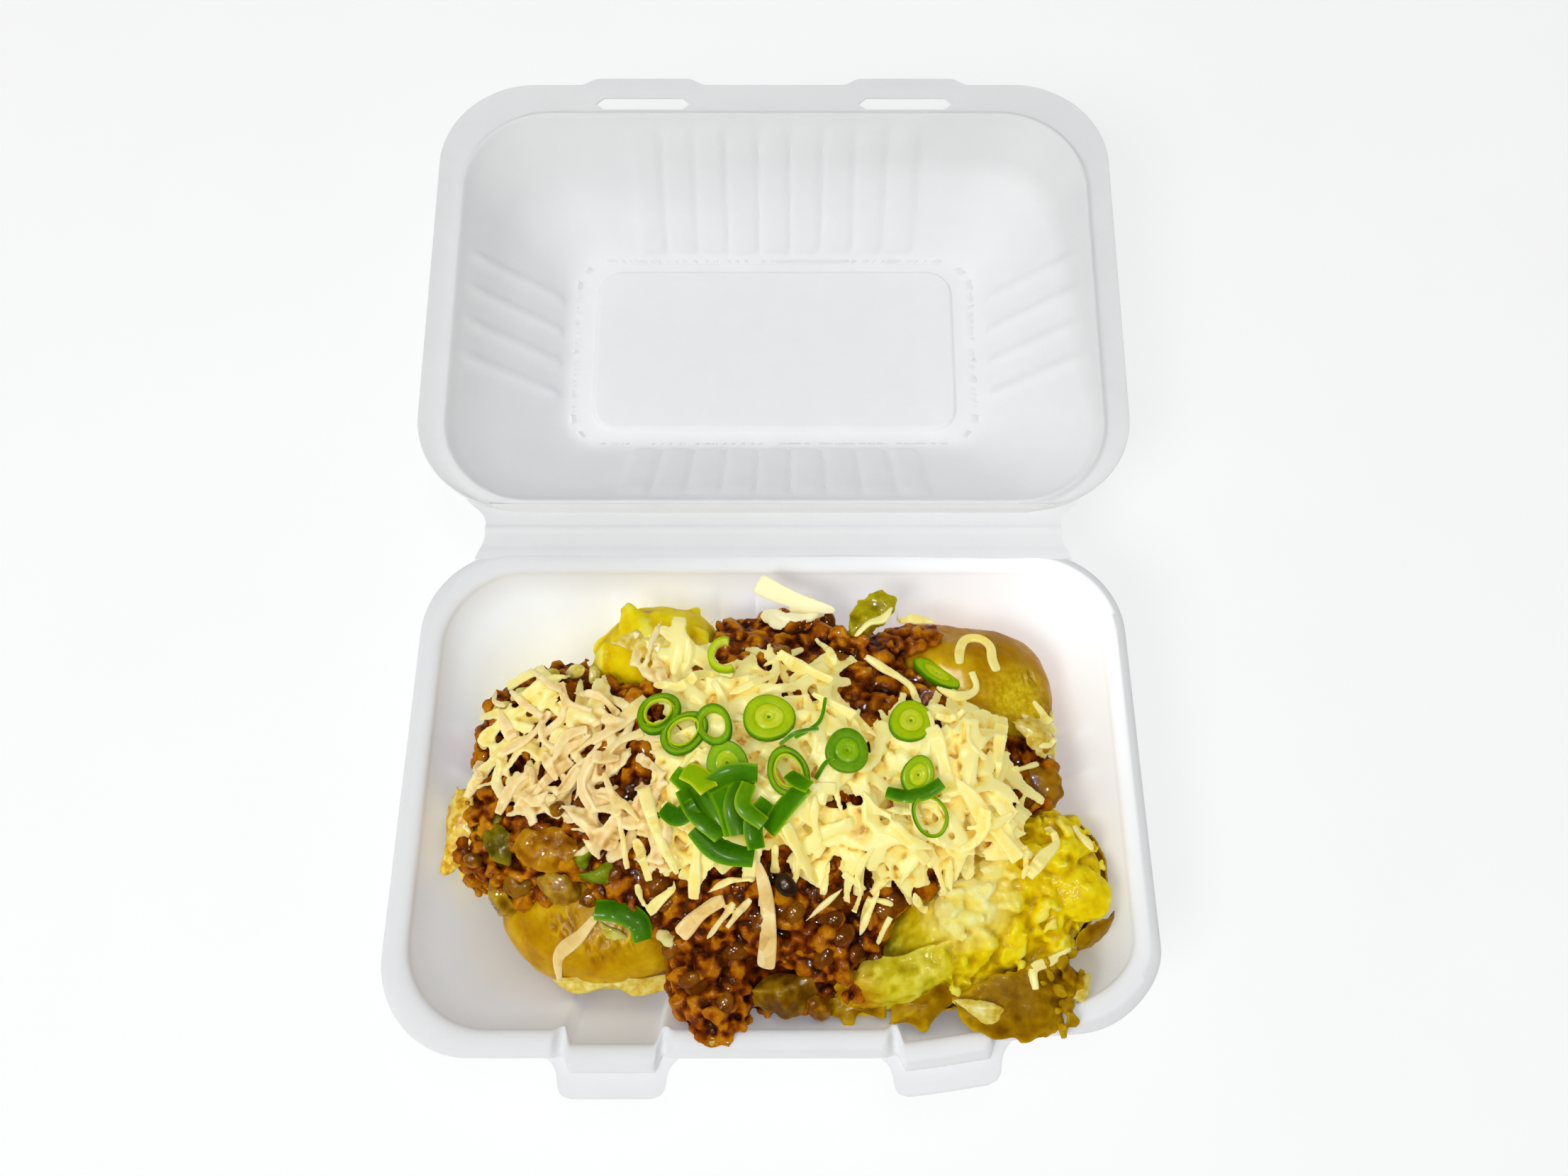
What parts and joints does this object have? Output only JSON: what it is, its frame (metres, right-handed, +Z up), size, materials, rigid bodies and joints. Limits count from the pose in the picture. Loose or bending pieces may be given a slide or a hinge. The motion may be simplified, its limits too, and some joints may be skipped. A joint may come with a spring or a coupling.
{
  "type": "baked potato meal in a hinged takeaway box",
  "caption": "Open hinged box of moulded pulp with broken baked potatoes under chilli, grated cheese and sliced spring onion. The lid swings shut on its crease.",
  "frame": {"origin": "centre of the tray's flat underside, on the surface it stands on", "axes": "+X along the long side, +Y from the closing tabs to the hinge, +Z up"},
  "size_m": [0.251, 0.3598, 0.0742],
  "materials": {
    "pulp": "matte white moulded pulp",
    "potato_skin": "baked skin, slightly oily",
    "potato_flesh": "fluffy, moist",
    "chilli": "wet and glossy",
    "cheese": "soft, slightly waxy",
    "onion_green": "moist leaf",
    "onion_pale": "moist stem",
    "pepper": "cooked and moist",
    "tomato": "cooked and moist"
  },
  "bodies": {
    "base": {"box_base": "pulp", "potato_front_left": "potato_skin", "potato_front_right": "potato_flesh", "potato_front_scrap": "potato_skin", "potato_back_right": "potato_skin", "potato_back_left": "potato_flesh", "potato_left": "potato_flesh", "potato_left_back": "potato_flesh", "pepper_back": "pepper", "pepper_front": "pepper", "tomato_left": "tomato", "pepper_left": "pepper", "onion_left": "pepper", "chilli": "chilli", "onion_greens": "onion_green", "onion_disc_1": "onion_pale", "onion_disc_2": "onion_pale", "onion_disc_3": "onion_pale", "onion_disc_4": "onion_pale", "onion_disc_5": "onion_pale", "onion_disc_6": "onion_pale", "onion_ring_1": "onion_green", "onion_ring_2": "onion_green", "onion_ring_3": "onion_green", "onion_ring_4": "onion_green", "onion_ring_5": "onion_green", "onion_ring_6": "onion_green", "onion_leaf_left": "onion_green", "onion_leaf_right": "onion_green", "cheese_strand_front": "cheese", "cheese_strand_left": "cheese", "cheese_strand_back": "cheese", "cheese_strand_right": "cheese", "cheese_strand_middle": "cheese", "cheese": "cheese"},
    "lid": {"box_lid": "pulp"}
  },
  "joints": [
    {"name": "lid_hinge", "type": "hinge", "parent": "base", "child": "lid", "pos_m": [0, 0.0885, 0.0464], "axis": [1, 0, 0], "range_deg": [0, 173.4]}
  ]
}
